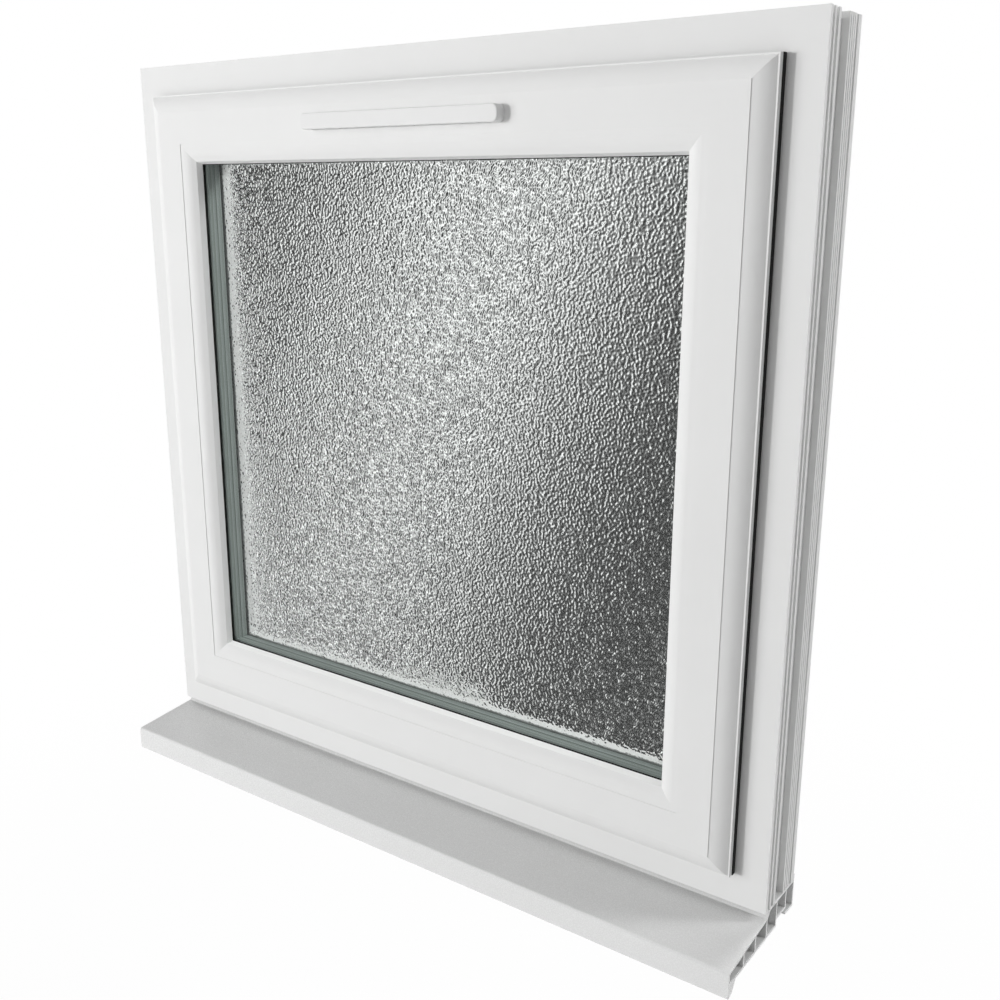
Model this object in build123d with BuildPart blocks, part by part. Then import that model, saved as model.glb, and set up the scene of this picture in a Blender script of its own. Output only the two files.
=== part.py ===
from build123d import *
import os

# A white plastic top-hung window on a projecting sill, in millimetres.
# X runs along the width, +Y points into the building and +Z is up.
# Y = 0 is the outside face of the outer frame and Z = 0 is the bed under the sill.

# Outer frame
frame_width = 820.0
frame_height = 790.0
frame_depth = 70.0
stop_depth = 18.0            # upstand on the inside that the sash closes against
stop_lap = 7.0               # how far the upstand covers the sash body
stop_round = 3.0
frame_arris = 0.8

# Grooves along the outer sides of the frame, counted from the front face
front_land = 5.0
front_groove = 4.5
front_rib = 3.3
second_groove = 5.3
channel_rib = 4.7
groove_depth = 3.5
channel_depth = 6.0          # fixing channel, between the front and the rear ribs
fine_rib_count = 4
fine_rib = 2.7
fine_groove = 1.8
fine_groove_depth = 1.2
rear_groove = 4.1
rear_land = 7.4

# Opening sash
sash_setback = 33.0          # width of frame face that shows round the sash
sash_proud = 21.0            # sash face in front of the frame face
flange_overlap = 8.0         # sash flange over the frame face
flange_edge = 5.4
hardware_gap = 13.0          # between the frame and the sash body
weather_gap = 6.8            # room for the outside seal
closing_gap = 3.0            # room for the inside seal
moulding_width = 19.0        # rounded moulding along the sash's outer edge
moulding_land = 1.4          # narrow flat outside the rounded part
moulding_turn = 7.0          # where the moulding's two end slopes would meet, in from the narrow flat
moulding_crown = 1.6         # and how far below the step
sash_flat = 34.4
face_step = 0.7              # fine step down on each side of the flat face
bead_land = 5.8
bevel_round = 8.0            # rounded start of the bevel next to the glass
bevel_width = 5.2
bevel_drop = 5.1
lip_lean = 2.6               # the lip's edge leans in to the glass
lip_edge = 6.6

# Glazing
pane_thickness = 4.0
cavity = 20.0
glass_cover = 15.0           # glass edge behind the sight line
edge_clearance = 3.0         # glass edge to the bottom of its rebate
outer_gasket = 1.7
outer_gasket_width = 7.0
outer_gasket_proud = 0.7
gasket_round = 0.6
bead_gasket = 1.0
bead_gasket_width = 6.0
bead_gasket_inset = 0.4      # gasket edge behind the sight line
spacer_width = 7.0
spacer_inset = 0.5           # spacer face behind the sight line
spacer_shoulder = 1.6
spacer_groove = 2.4
spacer_groove_depth = 0.4

# Glazing beads on the inside
bead_reveal = 11.0           # straight stretch next to the glass
bead_edge_round = 2.0
bead_foot = 4.0
bead_step = 6.0              # bead foot behind the sash's inside face

# Seals
weather_seal_proud = 0.5
weather_seal_inset = 1.0
weather_seal_round = 1.2
inside_seal_margin = 1.0

# Trickle ventilator on the sash's top rail
hood_length = 246.0
hood_height = 16.0
hood_projection = 12.0
hood_corner = 6.0
hood_edge = 1.5
hood_wall = 1.6
hood_slot_count = 12
hood_slot_pitch = 19.0
hood_slot_length = 15.0
hood_slot_depth = 6.0
vent_length = 260.0
vent_height = 24.0
vent_thickness = 4.0
vent_corner = 4.0
flap_length = 236.0
flap_height = 15.0
flap_thickness = 6.0
flap_edge = 2.0

# Handle on the inside of the sash's bottom rail
handle_x = 8.0
base_length = 118.0
base_height = 36.0
base_rise = 7.0              # base plate set higher than the lever
base_thickness = 11.0
base_edge = 3.0
neck_radius = 10.0
neck_length = 22.0
lever_length = 112.0
lever_root_radius = 11.0
lever_tip_radius = 8.0
lever_thickness = 13.0
lever_edge = 3.5

# Sill, a hollow extrusion
sill_height = 30.0
sill_front = 78.0            # nose in front of the frame face
sill_wall = 2.3
nose_top = 14.0
nose_round = 3.0
nose_drop = 12.0
drip_tip = 13.6
drip_tip_back = 1.5
drip_knee = 10.9
drip_knee_back = 8.8
drip_root_back = 15.5
slope_top = 22.8
slope_back = 4.0
seat_front = 13.0
rear_lip = 2.0
rear_lip_rise = 5.5
front_web = 31.0             # from the nose to the first web
web_pitch = 26.0
web_count = 3
step_back = 108.5            # from the nose to the raised underside
step_rise = 7.5
step_width = 22.5

# Places that follow from the sizes above
leg_width = sash_setback + flange_overlap
frame_face = leg_width + hardware_gap + stop_lap
stop_front = frame_depth - stop_depth
centre_z = sill_height + frame_height / 2
sash_back = stop_front - closing_gap
sash_face = -sash_proud
body_side = flange_overlap + hardware_gap
ridge = -weather_gap - flange_edge
bead_edge = moulding_width + sash_flat
moulding_face = sash_face + face_step
bevel_start = bead_edge + bead_land
bevel_end = bevel_start + bevel_round + bevel_width
bevel_face = moulding_face + bevel_drop
sight = bevel_end + lip_lean
lip_back = bevel_face + lip_edge
glass_edge = sight - glass_cover
rebate_floor = glass_edge - edge_clearance
outer_pane_front = lip_back + outer_gasket
cavity_front = outer_pane_front + pane_thickness
inner_pane_front = cavity_front + cavity
inner_pane_back = inner_pane_front + pane_thickness
bead_front = inner_pane_back + bead_gasket
bead_back = sash_back - bead_step
rail_middle = (frame_face - sash_setback + rebate_floor) / 2
sash_top = sill_height + frame_height - sash_setback
sash_bottom = sill_height + sash_setback

OUTWARD = {
    "left": Vector(-1, 0, 0),
    "right": Vector(1, 0, 0),
    "top": Vector(0, 0, 1),
    "bottom": Vector(0, 0, -1),
}
INWARD_DEPTH = Vector(0, 1, 0)

os.makedirs("parts", exist_ok=True)


def mitred_length(section, side, inset):
    """One side of a rectangular ring, cut at 45 degrees at both ends.

    The section's first axis points inward from the ring's outer edge and its second
    axis is Y. The inset is the ring's distance in from the frame's outer edge.
    """
    outward = OUTWARD[side]
    upright = abs(outward.X) > 0
    reach = (frame_width if upright else frame_height) / 2 - inset
    half_length = (frame_height if upright else frame_width) / 2 - inset
    along = (outward * -1).cross(INWARD_DEPTH)
    middle = Vector(0, 0, centre_z) + outward * reach
    with BuildPart() as length:
        with BuildSketch(Plane(origin=middle, x_dir=outward * -1, z_dir=along)):
            add(section)
        extrude(amount=half_length + frame_face, both=True)
        for end in (along, along * -1):
            mitre = Plane(origin=middle + end * half_length, z_dir=end - outward)
            split(bisect_by=mitre, keep=Keep.BOTTOM)
    return length.part


def keep(solid, name):
    """Label a finished piece and write it."""
    solid.label = name
    export_step(solid, f"parts/{name}.step")


# Section of the outer frame: an L with the sash stop on the inside
with BuildSketch() as frame_section:
    with BuildLine():
        Polyline(
            (0, 0),
            (leg_width, 0),
            (leg_width, stop_front),
            (frame_face, stop_front),
            (frame_face, frame_depth),
            (0, frame_depth),
            close=True,
        )
    make_face()
    corners = frame_section.vertices()
    fillet(corners.group_by(Axis.X)[-1].sort_by(Axis.Y)[-1], stop_round)
    fillet(corners.group_by(Axis.X)[0].sort_by(Axis.Y)[0], frame_arris)
    groove_start = front_land
    second_start = groove_start + front_groove + front_rib
    channel_start = second_start + second_groove + channel_rib
    fine_span = fine_rib_count * fine_rib + (fine_rib_count - 1) * fine_groove
    rear_start = frame_depth - rear_land - rear_groove
    channel_end = rear_start - fine_span
    grooves = [
        (groove_start, front_groove, groove_depth),
        (second_start, second_groove, groove_depth),
        (channel_start, channel_end - channel_start, channel_depth),
        (rear_start, rear_groove, groove_depth),
    ]
    for index in range(fine_rib_count - 1):
        fine_start = channel_end + fine_rib + index * (fine_rib + fine_groove)
        grooves.append((fine_start, fine_groove, fine_groove_depth))
    for start, width, depth in grooves:
        with Locations((0, start)):
            Rectangle(depth, width, align=(Align.MIN, Align.MIN), mode=Mode.SUBTRACT)

# Section of the sash: flange, rounded moulding, raised flat face, bevel and glazing rebate
with BuildSketch() as sash_section:
    with BuildLine():
        Polyline((0, -weather_gap), (0, ridge), (moulding_land, ridge))
        Bezier(
            (moulding_land, ridge),
            (moulding_land + moulding_turn, moulding_face + moulding_crown),
            (moulding_width, moulding_face),
        )
        Polyline(
            (moulding_width, moulding_face),
            (moulding_width, sash_face),
            (bead_edge, sash_face),
            (bead_edge, moulding_face),
            (bevel_start, moulding_face),
        )
        bevel_slope = bevel_drop / (bevel_round / 2 + bevel_width)
        bevel_round_end = (bevel_start + bevel_round, moulding_face + bevel_slope * bevel_round / 2)
        Bezier(
            (bevel_start, moulding_face),
            (bevel_start + bevel_round / 2, moulding_face),
            bevel_round_end,
        )
        Polyline(
            bevel_round_end,
            (bevel_end, bevel_face),
            (sight, lip_back),
            (rebate_floor, lip_back),
            (rebate_floor, sash_back),
            (body_side, sash_back),
            (body_side, -weather_gap),
            (0, -weather_gap),
        )
    make_face()

# Section of a glazing bead: straight beside the glass, then sloping off to the sash
with BuildSketch() as bead_section:
    with BuildLine():
        Polyline(
            (rebate_floor, bead_front),
            (sight, bead_front),
            (sight, bead_front + bead_reveal),
            (rebate_floor + bead_foot, bead_back),
            (rebate_floor, bead_back),
            close=True,
        )
    make_face()
    fillet(bead_section.vertices().group_by(Axis.X)[-1].sort_by(Axis.Y)[-1], bead_edge_round)

# Section of the spacer bar between the panes, with a fine groove along its face
with BuildSketch() as spacer_section:
    with Locations((sight - spacer_inset - spacer_width, cavity_front)):
        Rectangle(spacer_width, cavity, align=Align.MIN)
    chamfer(spacer_section.vertices().group_by(Axis.X)[-1], spacer_shoulder)
    with Locations((sight - spacer_inset, cavity_front + cavity / 2)):
        Rectangle(2 * spacer_groove_depth, spacer_groove, mode=Mode.SUBTRACT)

# Section of the seal between the sash flange and the frame face
with BuildSketch() as weather_seal_section:
    with Locations((-weather_seal_proud, -weather_gap)):
        Rectangle(flange_overlap + weather_seal_proud - weather_seal_inset, weather_gap, align=Align.MIN)
    fillet(weather_seal_section.vertices().group_by(Axis.X)[0], weather_seal_round)

# Section of the seal between the sash body and the frame's stop
with BuildSketch() as inside_seal_section:
    with Locations((body_side + inside_seal_margin, sash_back)):
        Rectangle(stop_lap - 2 * inside_seal_margin, closing_gap, align=Align.MIN)

# Section of the gasket between the sash lip and the outer pane
with BuildSketch() as outer_gasket_section:
    with Locations((sight + outer_gasket_proud - outer_gasket_width, lip_back)):
        Rectangle(outer_gasket_width, outer_gasket, align=Align.MIN)
    fillet(outer_gasket_section.vertices().group_by(Axis.X)[-1].sort_by(Axis.Y)[0], gasket_round)

# Section of the gasket between the inner pane and the bead
with BuildSketch() as bead_gasket_section:
    with Locations((sight - bead_gasket_inset - bead_gasket_width, inner_pane_back)):
        Rectangle(bead_gasket_width, bead_gasket, align=Align.MIN)

# Four mitred lengths of the frame and of the sash
frame_names = {
    "left": "frame_left_jamb",
    "right": "frame_right_jamb",
    "top": "frame_head",
    "bottom": "frame_bottom_rail",
}
sash_names = {
    "left": "sash_left_stile",
    "right": "sash_right_stile",
    "top": "sash_top_rail",
    "bottom": "sash_bottom_rail",
}
for side in OUTWARD:
    keep(mitred_length(frame_section.sketch, side, 0), frame_names[side])
    keep(mitred_length(sash_section.sketch, side, sash_setback), sash_names[side])

# Beads, spacers, seals and gaskets, each ring in four lengths
rings = {
    "bead": bead_section,
    "spacer": spacer_section,
    "weather_seal": weather_seal_section,
    "inside_seal": inside_seal_section,
    "outer_gasket": outer_gasket_section,
    "bead_gasket": bead_gasket_section,
}
for ring, section in rings.items():
    for side in OUTWARD:
        keep(mitred_length(section.sketch, side, sash_setback), f"{ring}_{side}")

# The two panes of the glazing unit
glass_width = frame_width - 2 * (sash_setback + glass_edge)
glass_height = frame_height - 2 * (sash_setback + glass_edge)
for name, front in (("outer_pane", outer_pane_front), ("inner_pane", inner_pane_front)):
    with BuildPart() as pane:
        with Locations((0, front, centre_z)):
            Box(
                glass_width,
                pane_thickness,
                glass_height,
                align=(Align.CENTER, Align.MIN, Align.CENTER),
            )
    keep(pane.part, name)

# Ventilator hood on the outside: a hollow cover with outlets along its underside
hood_z = sash_top - moulding_width - sash_flat / 2
with BuildPart() as vent_hood:
    with BuildSketch(Plane(origin=(0, sash_face, hood_z), x_dir=(1, 0, 0), z_dir=(0, -1, 0))):
        RectangleRounded(hood_length, hood_height, hood_corner)
    extrude(amount=hood_projection)
    fillet(vent_hood.faces().sort_by(Axis.Y)[0].edges(), hood_edge)
    with BuildSketch(Plane(origin=(0, sash_face, hood_z), x_dir=(1, 0, 0), z_dir=(0, -1, 0))):
        RectangleRounded(
            hood_length - 2 * hood_wall,
            hood_height - 2 * hood_wall,
            hood_corner - hood_wall,
        )
    extrude(amount=hood_projection - hood_wall, mode=Mode.SUBTRACT)
    with Locations((0, sash_face - hood_projection / 2, hood_z - hood_height / 2)):
        with GridLocations(hood_slot_pitch, 0, hood_slot_count, 1):
            Box(hood_slot_length, hood_slot_depth, 4 * hood_wall, mode=Mode.SUBTRACT)
keep(vent_hood.part, "vent_hood")

# Ventilator plate and its closing flap on the inside of the same rail
vent_z = sash_top - rail_middle
with BuildPart() as vent_plate:
    with BuildSketch(Plane(origin=(0, sash_back, vent_z), x_dir=(-1, 0, 0), z_dir=(0, 1, 0))):
        RectangleRounded(vent_length, vent_height, vent_corner)
    extrude(amount=vent_thickness)
keep(vent_plate.part, "vent_plate")

with BuildPart() as vent_flap:
    with BuildSketch(
        Plane(origin=(0, sash_back + vent_thickness, vent_z), x_dir=(-1, 0, 0), z_dir=(0, 1, 0))
    ):
        Rectangle(flap_length, flap_height)
    extrude(amount=flap_thickness)
    fillet(vent_flap.faces().sort_by(Axis.Y)[-1].edges(), flap_edge)
keep(vent_flap.part, "vent_flap")

# Handle base, screwed to the inside of the bottom rail
handle_z = sash_bottom + rail_middle
with BuildPart() as handle_base:
    with BuildSketch(Plane(origin=(0, sash_back, handle_z + base_rise), x_dir=(-1, 0, 0), z_dir=(0, 1, 0))):
        SlotOverall(base_length, base_height)
    extrude(amount=base_thickness)
    fillet(handle_base.faces().sort_by(Axis.Y)[-1].edges(), base_edge)
keep(handle_base.part, "handle_base")

# Handle lever: a round neck and a tapering arm that lies along the rail when closed
neck_start = sash_back + base_thickness
with BuildPart() as handle_lever:
    with BuildSketch(
        Plane(origin=(handle_x, neck_start + neck_length, handle_z), x_dir=(-1, 0, 0), z_dir=(0, 1, 0))
    ):
        Circle(lever_root_radius)
        with Locations((lever_length, 0)):
            Circle(lever_tip_radius)
        make_hull()
    extrude(amount=lever_thickness)
    fillet(handle_lever.faces().sort_by(Axis.Y)[-1].edges(), lever_edge)
    fillet(handle_lever.faces().sort_by(Axis.Y)[0].edges(), lever_edge)
    with BuildSketch(
        Plane(origin=(handle_x, neck_start, handle_z), x_dir=(-1, 0, 0), z_dir=(0, 1, 0))
    ):
        Circle(neck_radius)
    extrude(amount=neck_length)
keep(handle_lever.part, "handle_lever")

# Sill: sloping top with a drip nose, the frame's seat, and a row of open chambers
nose = -sill_front
step_front = nose + step_back
step_rear = step_front + step_width
sill_rear = frame_depth + rear_lip


def slope_height(y):
    """Height of the sill's sloping top at depth y."""
    share = (y - nose) / (slope_back - nose)
    return nose_top + share * (slope_top - nose_top)


with BuildPart() as sill:
    with BuildSketch(Plane.YZ) as sill_section:
        with BuildLine():
            Polyline(
                (nose, nose_top),
                (slope_back, slope_top),
                (seat_front, sill_height),
                (frame_depth, sill_height),
                (frame_depth, sill_height + rear_lip_rise),
                (sill_rear, sill_height + rear_lip_rise),
                (sill_rear, 0),
                (step_rear, 0),
                (step_rear, step_rise),
                (step_front, step_rise),
                (step_front, 0),
                (nose + drip_root_back, 0),
                (nose + drip_knee_back, -drip_knee),
                (nose + drip_tip_back, -drip_tip),
                (nose, -nose_drop),
                close=True,
            )
        make_face()
        fillet(sill_section.vertices().group_by(Axis.X)[0].sort_by(Axis.Y)[-1], nose_round)
        webs = [nose] + [nose + front_web + index * web_pitch for index in range(web_count)]
        for start, end in zip(webs, webs[1:]):
            front = start + sill_wall
            with BuildLine():
                Polyline(
                    (front, sill_wall),
                    (end, sill_wall),
                    (end, slope_height(min(end, slope_back)) - sill_wall),
                    (front, slope_height(front) - sill_wall),
                    close=True,
                )
            make_face(mode=Mode.SUBTRACT)
        with BuildLine():
            Polyline(
                (webs[-1] + sill_wall, sill_wall),
                (step_front - sill_wall, sill_wall),
                (step_front - sill_wall, sill_height - sill_wall),
                (seat_front, sill_height - sill_wall),
                (webs[-1] + sill_wall, slope_top - sill_wall),
                close=True,
            )
        make_face(mode=Mode.SUBTRACT)
        with Locations((step_front, step_rise + sill_wall)):
            Rectangle(
                step_width - sill_wall,
                sill_height - step_rise - 2 * sill_wall,
                align=Align.MIN,
                mode=Mode.SUBTRACT,
            )
        with Locations((step_rear, sill_wall)):
            Rectangle(
                sill_rear - step_rear - sill_wall,
                sill_height - 2 * sill_wall,
                align=Align.MIN,
                mode=Mode.SUBTRACT,
            )
    extrude(amount=frame_width / 2, both=True)
keep(sill.part, "sill")
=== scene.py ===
import math

import bpy
import numpy as np
from mathutils import Matrix, Vector


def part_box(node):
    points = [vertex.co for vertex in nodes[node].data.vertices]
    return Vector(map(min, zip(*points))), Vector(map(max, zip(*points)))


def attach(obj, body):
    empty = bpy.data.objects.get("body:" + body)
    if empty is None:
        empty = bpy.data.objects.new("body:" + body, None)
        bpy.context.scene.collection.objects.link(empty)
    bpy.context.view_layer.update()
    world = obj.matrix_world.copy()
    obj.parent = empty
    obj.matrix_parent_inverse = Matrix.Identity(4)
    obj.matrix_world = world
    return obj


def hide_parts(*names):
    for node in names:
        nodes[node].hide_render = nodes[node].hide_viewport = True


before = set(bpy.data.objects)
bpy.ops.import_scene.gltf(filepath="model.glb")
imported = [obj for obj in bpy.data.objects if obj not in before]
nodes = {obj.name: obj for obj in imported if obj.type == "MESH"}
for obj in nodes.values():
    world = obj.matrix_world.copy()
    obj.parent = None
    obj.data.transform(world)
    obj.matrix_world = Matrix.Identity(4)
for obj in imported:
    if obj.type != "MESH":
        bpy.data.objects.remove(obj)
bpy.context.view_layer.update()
scene = bpy.context.scene
scene.view_settings.view_transform = "Standard"

# Camera
CAMERA_AT = Vector((0.74323, -0.89612, 0.68065))
CAMERA_TOWARDS = Vector((-0.56067, 0.78594, -0.26071))
CAMERA_ROLL = 0.14           # degrees
LENS = 40.813
SENSOR = 36.0

# Stage
FLOOR_Z = -0.36
FLOOR_HALF = 12.0
FLOOR_CLEAR_FROM = 0.75      # from this distance to the next, the floor turns to plain white
FLOOR_CLEAR_TO = 1.5
FLOOR_GREY = 0.6
FLOOR_LIFT = 0.98            # share of plain white near the object, where the rest takes its shadow
AMBIENT = 0.19
MIDDLE = (0.0, 0.0, 0.42)    # where most lamps point

# Dim room far behind the glass, with leaning bands of soft light
ROOM_Y = 20.0
ROOM_HALF_X = 60.0
ROOM_HALF_Z = 36.0
ROOM_LIGHT = 0.013
BAND_LIGHT = 1.6
BAND_AT = (-15.1, ROOM_Y, 0.0)
BAND_LEAN = math.radians(26)
BAND_WIDTH = 2.3             # from a band's middle to where its light has dropped to about a third
BAND_FALL = 1.03             # 1 for a sharp middle, 2 for a rounded one
BAND_STEEPER = 0.1           # how much faster the first band's light drops on its left
BAND_PITCH = 17.0            # to the next band on the right
FAR_LIGHT = 0.25             # the room is lighter again well away from the first band
FAR_FROM = 9.0
FAR_TO = 20.0

# White plastic
WHITE = (0.84, 0.842, 0.838)
WHITE_DEEP = (0.80, 0.80, 0.795)
MOTTLE_SCALE = 7.0
LINES_ALONG = 1.5            # drawing lines: noise that is stretched along the length
LINES_ACROSS = 420.0
PEEL_SCALE = 900.0
PEEL_ROUGHNESS = 0.03        # how far the peel moves the roughness each way
PLASTIC_DEPTH = 0.00004

# Rubber
DUST_SCALE = 60.0
RUBBER_SCALE = 1300.0
RUBBER_DEPTH = 0.00005

# Spacer bars
SPACER_STEPS = 3.4           # rolled steps across the bar, each painted with shade from pale to dark
SPACER_GRAIN = (40.0, 1500.0, 40.0)

# Glass
FILM_SCALE = 14.0
GLASS_IOR = 1.5
CLEAR_MIRROR = 0.005         # share of the light that is mirrored straight on
STIPPLED_MIRROR = 0.004
MIRROR_RISE = 5.0            # power by which the mirrored share grows with the slant
GRAIN_SCALE = 340.0          # finer grain on top of the relief
GRAIN_DEPTH = 0.0009

# Relief of the stippled pane
STIPPLE_STEP = 0.00195       # between the points of its mesh
STIPPLE_SIZE = 0.0052        # mean spacing of the grains
STIPPLE_SPREAD = 0.34        # how much that spacing varies
STIPPLE_HEIGHT = 0.00005     # standard deviation
STIPPLE_LIMIT = 3 * STIPPLE_HEIGHT
STIPPLE_SEED = 11
STIPPLE_COVER = 0.003        # how far it runs on behind the bead gasket

# Sockets of a Mix node that take and give colours
MIX_FIRST = 6
MIX_SECOND = 7
MIX_RESULT = 2


# Shader nodes
def new_material(name):
    material = bpy.data.materials.new(name)
    material.use_nodes = True
    tree = material.node_tree
    return material, tree, tree.nodes["Principled BSDF"]


def add_node(tree, kind, inputs=None, **settings):
    node = tree.nodes.new(kind)
    for key, value in settings.items():
        setattr(node, key, value)
    for key, value in (inputs or {}).items():
        if isinstance(value, bpy.types.NodeSocket):
            tree.links.new(value, node.inputs[key])
        else:
            node.inputs[key].default_value = value
    return node


def maths(tree, operation, *values):
    inputs = dict(enumerate(values))
    return add_node(tree, "ShaderNodeMath", inputs, operation=operation).outputs[0]


def place_of(tree):
    return add_node(tree, "ShaderNodeTexCoord").outputs["Object"]


def stretched(tree, scale):
    return add_node(tree, "ShaderNodeMapping", {"Vector": place_of(tree), "Scale": scale}).outputs["Vector"]


def noise(tree, vector, scale, detail=2.0):
    inputs = {"Vector": vector, "Scale": scale, "Detail": detail}
    return add_node(tree, "ShaderNodeTexNoise", inputs).outputs["Fac"]


def spread(tree, value, low, high):
    """Noise, which lies mostly between 0.3 and 0.7, spread from low to high."""
    inputs = {"Value": value, "From Min": 0.3, "From Max": 0.7, "To Min": low, "To Max": high}
    return add_node(tree, "ShaderNodeMapRange", inputs).outputs["Result"]


def mix_colours(tree, factor, first, second):
    node = add_node(tree, "ShaderNodeMix", {"Factor": factor}, data_type="RGBA")
    for index, colour in ((MIX_FIRST, first), (MIX_SECOND, second)):
        if isinstance(colour, bpy.types.NodeSocket):
            tree.links.new(colour, node.inputs[index])
        else:
            node.inputs[index].default_value = (*colour, 1.0)
    return node.outputs[MIX_RESULT]


def mix_shaders(tree, factor, first, second):
    inputs = {0: factor, 1: first.outputs[0], 2: second.outputs[0]}
    return add_node(tree, "ShaderNodeMixShader", inputs)


def set_surface(tree, shader):
    tree.links.new(shader.outputs[0], tree.nodes["Material Output"].inputs["Surface"])


# Materials
def plastic(name, pale, deep, roughness, along, gloss=0.3):
    """White plastic: faint mottling, fine drawing lines along its length and a soft peel."""
    material, tree, shader = new_material(name)
    place = place_of(tree)
    lines_scale = tuple(LINES_ALONG if axis == along else LINES_ACROSS for axis in range(3))
    mottle = noise(tree, place, MOTTLE_SCALE, 3.0)
    lines = noise(tree, stretched(tree, lines_scale), 1.0)
    peel = noise(tree, place, PEEL_SCALE)
    colour = mix_colours(tree, spread(tree, mottle, 0.0, 0.5), pale, deep)
    colour = mix_colours(tree, spread(tree, lines, 0.0, 0.08), colour, deep)
    tree.links.new(colour, shader.inputs["Base Color"])
    rough = spread(tree, peel, roughness - PEEL_ROUGHNESS, roughness + PEEL_ROUGHNESS)
    tree.links.new(rough, shader.inputs["Roughness"])
    drawn = add_node(
        tree,
        "ShaderNodeBump",
        {"Strength": 0.03, "Distance": PLASTIC_DEPTH, "Height": lines},
    )
    bump = add_node(
        tree,
        "ShaderNodeBump",
        {"Strength": 0.12, "Distance": PLASTIC_DEPTH, "Height": peel, "Normal": drawn.outputs["Normal"]},
    )
    tree.links.new(bump.outputs["Normal"], shader.inputs["Normal"])
    shader.inputs["Specular IOR Level"].default_value = gloss
    return material


def rubber(name, deep, pale):
    """Matt rubber with a fine grain and a little dust."""
    material, tree, shader = new_material(name)
    place = place_of(tree)
    grain = noise(tree, place, RUBBER_SCALE, 3.0)
    dust = noise(tree, place, DUST_SCALE, 4.0)
    colour = mix_colours(tree, spread(tree, dust, 0.0, 1.0), deep, pale)
    tree.links.new(colour, shader.inputs["Base Color"])
    tree.links.new(spread(tree, dust, 0.55, 0.7), shader.inputs["Roughness"])
    shader.inputs["Specular IOR Level"].default_value = 0.15
    bump = add_node(tree, "ShaderNodeBump", {"Strength": 0.4, "Distance": RUBBER_DEPTH, "Height": grain})
    tree.links.new(bump.outputs["Normal"], shader.inputs["Normal"])
    return material


def spacer_finish(name):
    """Grey-green metal strip with rolled steps along its length, their shading painted: each step runs from
    pale to dark across the bar.
    """
    material, tree, shader = new_material(name)
    front, back = (corner.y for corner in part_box("spacer_left"))
    depth = add_node(tree, "ShaderNodeSeparateXYZ", {"Vector": place_of(tree)}).outputs["Y"]
    steps = add_node(
        tree,
        "ShaderNodeMapRange",
        {"Value": depth, "From Min": front, "From Max": back, "To Min": 0.0, "To Max": SPACER_STEPS},
        clamp=False,
    ).outputs["Result"]
    # Painted shade: each rolled step ramps from the pale green-grey to the dark one across the bar
    painted_step_shade = maths(tree, "FRACT", steps)
    grain = noise(tree, stretched(tree, SPACER_GRAIN), 1.0)
    colour = mix_colours(tree, painted_step_shade, (0.34, 0.385, 0.365), (0.2, 0.232, 0.22))
    colour = mix_colours(tree, spread(tree, grain, 0.0, 0.4), colour, (0.15, 0.175, 0.165))
    tree.links.new(colour, shader.inputs["Base Color"])
    tree.links.new(spread(tree, grain, 0.35, 0.5), shader.inputs["Roughness"])
    shader.inputs["Metallic"].default_value = 0.2
    return material


def mirror_share(tree, base, **inputs):
    """How much of a pane's light is mirrored: base straight on, and more at a slant."""
    slant = add_node(tree, "ShaderNodeLayerWeight", {"Blend": 0.5, **inputs}).outputs["Facing"]
    rise = maths(tree, "POWER", slant, MIRROR_RISE)
    return maths(tree, "MULTIPLY_ADD", rise, 1.0 - base, base)


def clear_glass(name):
    """Float glass: what is behind it shows straight through, under a faint mirror."""
    material, tree, shader = new_material(name)
    tree.nodes.remove(shader)
    film = noise(tree, place_of(tree), FILM_SCALE, 4.0)
    tint = mix_colours(tree, film, (0.975, 0.983, 0.98), (0.965, 0.974, 0.97))
    clear = add_node(tree, "ShaderNodeBsdfTransparent", {"Color": tint})
    mirror = add_node(tree, "ShaderNodeBsdfGlossy", {"Roughness": spread(tree, film, 0.0, 0.015)})
    set_surface(tree, mix_shaders(tree, mirror_share(tree, CLEAR_MIRROR), clear, mirror))
    return material


def stippled_glass(name):
    """Obscure glass: the modelled relief bends what is behind it, with a finer grain on top."""
    material, tree, shader = new_material(name)
    tree.nodes.remove(shader)
    fine = noise(tree, place_of(tree), GRAIN_SCALE, 0.0)
    bump = add_node(tree, "ShaderNodeBump", {"Strength": 1.0, "Distance": GRAIN_DEPTH, "Height": fine})
    normal = bump.outputs["Normal"]
    # Painted shade: the tint darkens where the fine grain stands highest, adding to the grain's contrast
    tint = mix_colours(tree, fine, (0.95, 0.955, 0.952), (0.88, 0.885, 0.882))
    rough = spread(tree, fine, 0.0, 0.05)
    bend = add_node(
        tree,
        "ShaderNodeBsdfRefraction",
        {"Color": tint, "Roughness": rough, "IOR": GLASS_IOR, "Normal": normal},
    )
    mirror = add_node(tree, "ShaderNodeBsdfGlossy", {"Roughness": 0.06, "Normal": normal})
    glass = mix_shaders(tree, mirror_share(tree, STIPPLED_MIRROR, Normal=normal), bend, mirror)
    # Shadows and scattered light pass straight through
    path = add_node(tree, "ShaderNodeLightPath")
    clear = add_node(tree, "ShaderNodeBsdfTransparent", {"Color": (0.99, 0.992, 0.99, 1.0)})
    straight = maths(tree, "MAXIMUM", path.outputs["Is Shadow Ray"], path.outputs["Is Diffuse Ray"])
    set_surface(tree, mix_shaders(tree, straight, glass, clear))
    return material


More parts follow.
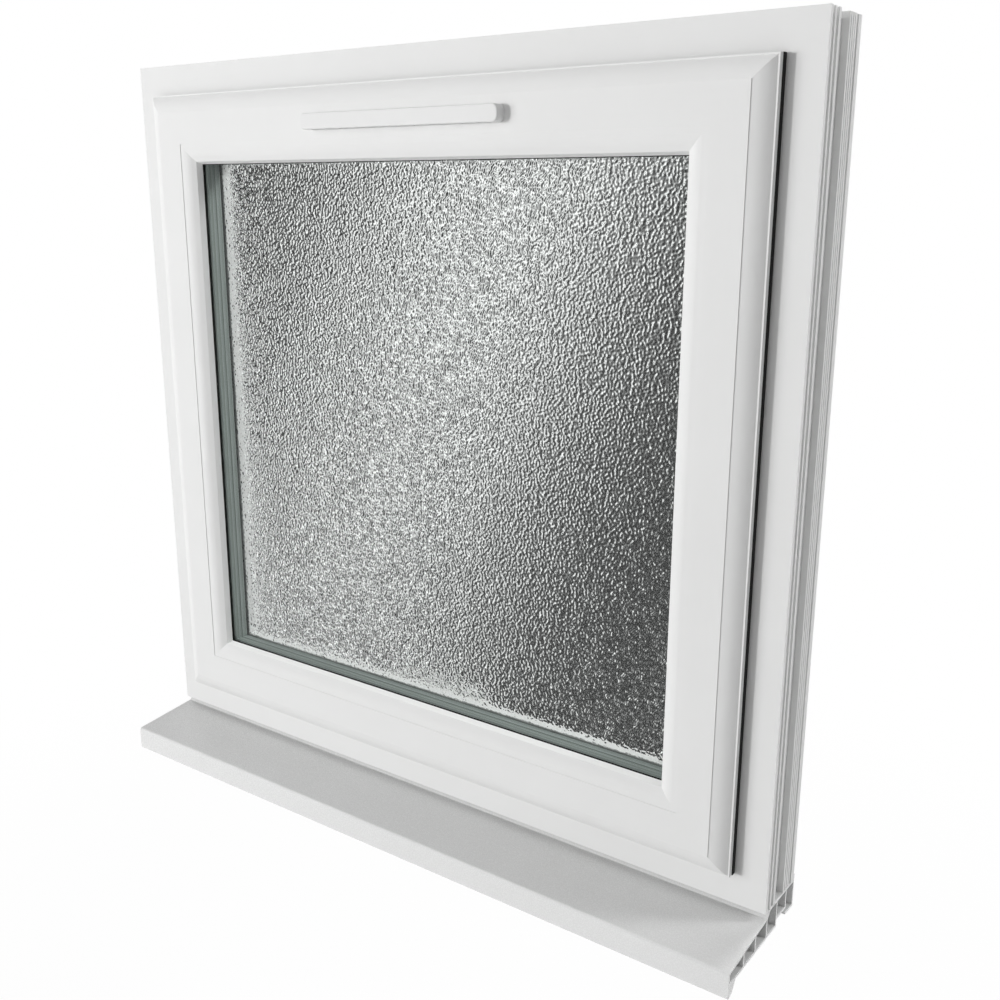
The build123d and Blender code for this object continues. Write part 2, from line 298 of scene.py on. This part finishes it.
upright = plastic("white_profile_upright", WHITE, WHITE_DEEP, 0.5, 2)
level = plastic("white_profile_level", WHITE, WHITE_DEEP, 0.5, 0)
sill_white = plastic("white_sill", (0.82, 0.823, 0.82), (0.785, 0.787, 0.782), 0.27, 0, 0.65)
moulded = plastic("white_moulding", (0.83, 0.832, 0.83), (0.80, 0.80, 0.796), 0.46, 0)
handle_white = plastic("white_handle", (0.82, 0.82, 0.815), (0.79, 0.79, 0.785), 0.36, 0)
seal_black = rubber("black_seal", (0.004, 0.004, 0.004), (0.009, 0.009, 0.0085))
seal_grey = rubber("grey_seal", (0.3, 0.31, 0.305), (0.36, 0.37, 0.365))
spacer_grey = spacer_finish("spacer_metal")
pane_clear = clear_glass("clear_glass")
pane_stippled = stippled_glass("obscure_glass")


def finish_of(name):
    """The material of a carried-over solid."""
    if name.startswith("bead_gasket"):
        return seal_grey
    if "seal" in name or "gasket" in name:
        return seal_black
    if name.startswith("spacer"):
        return spacer_grey
    if name.startswith("vent"):
        return moulded
    if name.startswith("handle"):
        return handle_white
    if name == "sill":
        return sill_white
    if name.endswith("pane"):
        return pane_clear
    sideways = name.endswith(("jamb", "stile", "left", "right"))
    return upright if sideways else level


for name, node in nodes.items():
    node.data.materials.clear()
    node.data.materials.append(finish_of(name))


# The inner pane, with the relief of its obscure face turned to the cavity
def stipple_heights(rows, columns):
    """Seeded noise kept to one band of grain sizes."""
    rng = np.random.default_rng(STIPPLE_SEED)
    field = np.fft.rfft2(rng.standard_normal((rows, columns)))
    along_z = np.fft.fftfreq(rows, STIPPLE_STEP)[:, None]
    along_x = np.fft.rfftfreq(columns, STIPPLE_STEP)[None, :]
    pitch = np.hypot(along_x, along_z) * STIPPLE_SIZE
    field *= np.exp(-(((pitch - 1.0) / STIPPLE_SPREAD) ** 2) / 2)
    heights = np.fft.irfft2(field, s=(rows, columns))
    return heights / heights.std() * STIPPLE_HEIGHT


def stippled_pane(name, low, high, relief_low, relief_high):
    """A closed pane: a grid with the relief in front, a rim of sides, and one flat face behind."""
    inner_x = np.arange(relief_low.x, relief_high.x, STIPPLE_STEP)
    inner_z = np.arange(relief_low.z, relief_high.z, STIPPLE_STEP)
    xs = np.concatenate(([low.x], inner_x, [high.x]))
    zs = np.concatenate(([low.z], inner_z, [high.z]))
    rows = len(zs)
    columns = len(xs)
    heights = np.zeros((rows, columns))
    heights[1:-1, 1:-1] = stipple_heights(rows - 2, columns - 2)
    heights = np.clip(heights, -STIPPLE_LIMIT, STIPPLE_LIMIT)
    sunk = low.y + STIPPLE_LIMIT + heights
    sunk[0, :] = sunk[-1, :] = low.y
    sunk[:, 0] = sunk[:, -1] = low.y
    grid_x, grid_z = np.meshgrid(xs, zs)
    points = np.stack((grid_x, sunk, grid_z), axis=-1).reshape(-1, 3)
    index = np.arange(rows * columns).reshape(rows, columns)
    corners = (index[:-1, :-1], index[:-1, 1:], index[1:, 1:], index[1:, :-1])
    quads = np.stack(corners, axis=-1).reshape(-1, 4)
    rim = np.concatenate((index[0, :], index[1:, -1], index[-1, -2::-1], index[-2:0:-1, 0]))
    back = points[rim].copy()
    back[:, 1] = high.y
    back_index = len(points) + np.arange(len(rim))
    following = np.roll(np.arange(len(rim)), -1)
    sides = np.stack((rim[following], rim, back_index, back_index[following]), axis=-1)
    faces = quads.tolist() + sides.tolist() + [back_index[::-1].tolist()]
    mesh = bpy.data.meshes.new(name)
    mesh.from_pydata(np.concatenate((points, back)).tolist(), [], faces)
    smooth = np.zeros(len(faces), dtype=bool)
    smooth[: len(quads)] = True
    mesh.polygons.foreach_set("use_smooth", smooth)
    mesh.update()
    pane = bpy.data.objects.new(name, mesh)
    scene.collection.objects.link(pane)
    return pane


pane_low, pane_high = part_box("inner_pane")
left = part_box("bead_gasket_left")[1].x - STIPPLE_COVER
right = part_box("bead_gasket_right")[0].x + STIPPLE_COVER
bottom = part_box("bead_gasket_bottom")[1].z - STIPPLE_COVER
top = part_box("bead_gasket_top")[0].z + STIPPLE_COVER
relief_low = Vector((left, 0, bottom))
relief_high = Vector((right, 0, top))
pane = stippled_pane("stippled_inner_pane", pane_low, pane_high, relief_low, relief_high)
pane.data.materials.append(pane_stippled)
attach(pane, "root")
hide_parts("inner_pane")


# Floor and the dim room behind the glass
def stage_card(name, corners, material):
    """A flat card whose corners come in two rows of two."""
    mesh = bpy.data.meshes.new(name)
    mesh.from_pydata(corners, [], [(0, 1, 3, 2)])
    mesh.materials.append(material)
    card = bpy.data.objects.new(name, mesh)
    scene.collection.objects.link(card)
    return card


def seen_directly(tree):
    """1 for rays that show the background: straight from the camera, mirrored or through glass."""
    path = add_node(tree, "ShaderNodeLightPath")
    shown = path.outputs["Is Camera Ray"]
    for other in ("Is Glossy Ray", "Is Transmission Ray"):
        shown = maths(tree, "MAXIMUM", shown, path.outputs[other])
    return shown


def floor_finish():
    """Pale floor that keeps a faint shadow near the object and is plain white further off."""
    material, tree, shader = new_material("floor_white")
    shader.inputs["Base Color"].default_value = (FLOOR_GREY, FLOOR_GREY, FLOOR_GREY, 1.0)
    shader.inputs["Roughness"].default_value = 0.9
    shader.inputs["Specular IOR Level"].default_value = 0.0
    reach = add_node(tree, "ShaderNodeVectorMath", {0: place_of(tree)}, operation="LENGTH").outputs["Value"]
    far = add_node(
        tree,
        "ShaderNodeMapRange",
        {"Value": reach, "From Min": FLOOR_CLEAR_FROM, "From Max": FLOOR_CLEAR_TO, "To Min": FLOOR_LIFT},
        interpolation_type="SMOOTHSTEP",
    ).outputs["Result"]
    factor = maths(tree, "MULTIPLY", far, seen_directly(tree))
    white = add_node(tree, "ShaderNodeEmission", {"Strength": 1.0})
    set_surface(tree, mix_shaders(tree, factor, shader, white))
    return material


def room_finish():
    """A dim room with soft bands of light that lean."""
    material, tree, shader = new_material("dim_room")
    tree.nodes.remove(shader)
    turned = add_node(
        tree,
        "ShaderNodeMapping",
        {"Vector": place_of(tree), "Location": BAND_AT, "Rotation": (0.0, BAND_LEAN, 0.0)},
        vector_type="TEXTURE",
    ).outputs["Vector"]
    across = add_node(tree, "ShaderNodeSeparateXYZ", {"Vector": turned}).outputs["X"]
    leftward = maths(tree, "MULTIPLY", across, -1.0 - BAND_STEEPER)
    away = maths(tree, "ABSOLUTE", across)
    far = add_node(
        tree,
        "ShaderNodeMapRange",
        {"Value": away, "From Min": FAR_FROM, "From Max": FAR_TO, "To Min": ROOM_LIGHT, "To Max": FAR_LIGHT},
        interpolation_type="SMOOTHSTEP",
    ).outputs["Result"]
    off_band = maths(tree, "PINGPONG", across, BAND_PITCH / 2)
    off_band = maths(tree, "MAXIMUM", off_band, leftward)
    drop = maths(tree, "POWER", maths(tree, "DIVIDE", off_band, BAND_WIDTH), BAND_FALL)
    band = maths(tree, "EXPONENT", maths(tree, "MULTIPLY", drop, -1.0))
    light = maths(tree, "ADD", maths(tree, "MULTIPLY", band, BAND_LIGHT), far)
    set_surface(tree, add_node(tree, "ShaderNodeEmission", {"Strength": light}))
    return material


floor_sides = (-FLOOR_HALF, FLOOR_HALF)
floor_corners = [(x, y, FLOOR_Z) for y in floor_sides for x in floor_sides]
floor = stage_card("floor", floor_corners, floor_finish())
floor.visible_transmission = False

room_sides = (-ROOM_HALF_X, ROOM_HALF_X)
room_corners = [(x, ROOM_Y, z) for z in (-ROOM_HALF_Z, ROOM_HALF_Z) for x in room_sides]
room = stage_card("dim_room", room_corners, room_finish())
room.visible_camera = False
room.visible_diffuse = False
room.visible_glossy = False
room.visible_shadow = False


# World and lamps
def studio_world():
    """Even light from all round, seen as plain white."""
    world = bpy.data.worlds.new("studio")
    world.use_nodes = True
    tree = world.node_tree
    ambient = tree.nodes["Background"]
    ambient.inputs["Color"].default_value = (1.0, 1.0, 1.0, 1.0)
    ambient.inputs["Strength"].default_value = AMBIENT
    white = add_node(tree, "ShaderNodeBackground", {"Color": (1.0, 1.0, 1.0, 1.0), "Strength": 1.0})
    both = mix_shaders(tree, seen_directly(tree), ambient, white)
    tree.links.new(both.outputs["Shader"], tree.nodes["World Output"].inputs["Surface"])
    return world


def softbox(name, at, towards, size, power, mirrored=True):
    """A round lamp. One that isn't mirrored leaves no bright disc in the panes."""
    lamp = bpy.data.lights.new(name, "AREA")
    lamp.shape = "DISK"
    lamp.size = size
    lamp.energy = power
    holder = bpy.data.objects.new(name, lamp)
    holder.location = at
    holder.rotation_euler = (Vector(towards) - Vector(at)).to_track_quat("-Z", "Y").to_euler()
    holder.visible_glossy = mirrored
    holder.visible_transmission = mirrored
    scene.collection.objects.link(holder)


scene.world = studio_world()
softbox("key", (-3.25, -5.63, 0.8), MIDDLE, 0.66, 144.0, mirrored=False)
softbox("soft_key", (-3.1, -3.5, 0.9), MIDDLE, 2.4, 74.0, mirrored=False)
softbox("side", (4.4, 2.4, 3.0), MIDDLE, 1.2, 118.0)
softbox("top", (0.3, -0.4, 3.4), MIDDLE, 1.0, 6.0)
softbox("back_top", (0.4, 1.6, 2.6), MIDDLE, 1.0, 50.0, mirrored=False)
softbox("front_fill", (0.1, -1.2, 1.05), (0.0, 0.0, 0.6), 0.8, 1.9, mirrored=False)

# Camera at the photograph's viewing angle
camera_data = bpy.data.cameras.new("camera")
camera_data.lens = LENS
camera_data.sensor_width = SENSOR
camera = bpy.data.objects.new("camera", camera_data)
look = CAMERA_TOWARDS.to_track_quat("-Z", "Y").to_matrix().to_4x4()
roll = Matrix.Rotation(math.radians(CAMERA_ROLL), 4, "Z")
camera.matrix_world = Matrix.Translation(CAMERA_AT) @ look @ roll
scene.collection.objects.link(camera)
scene.camera = camera
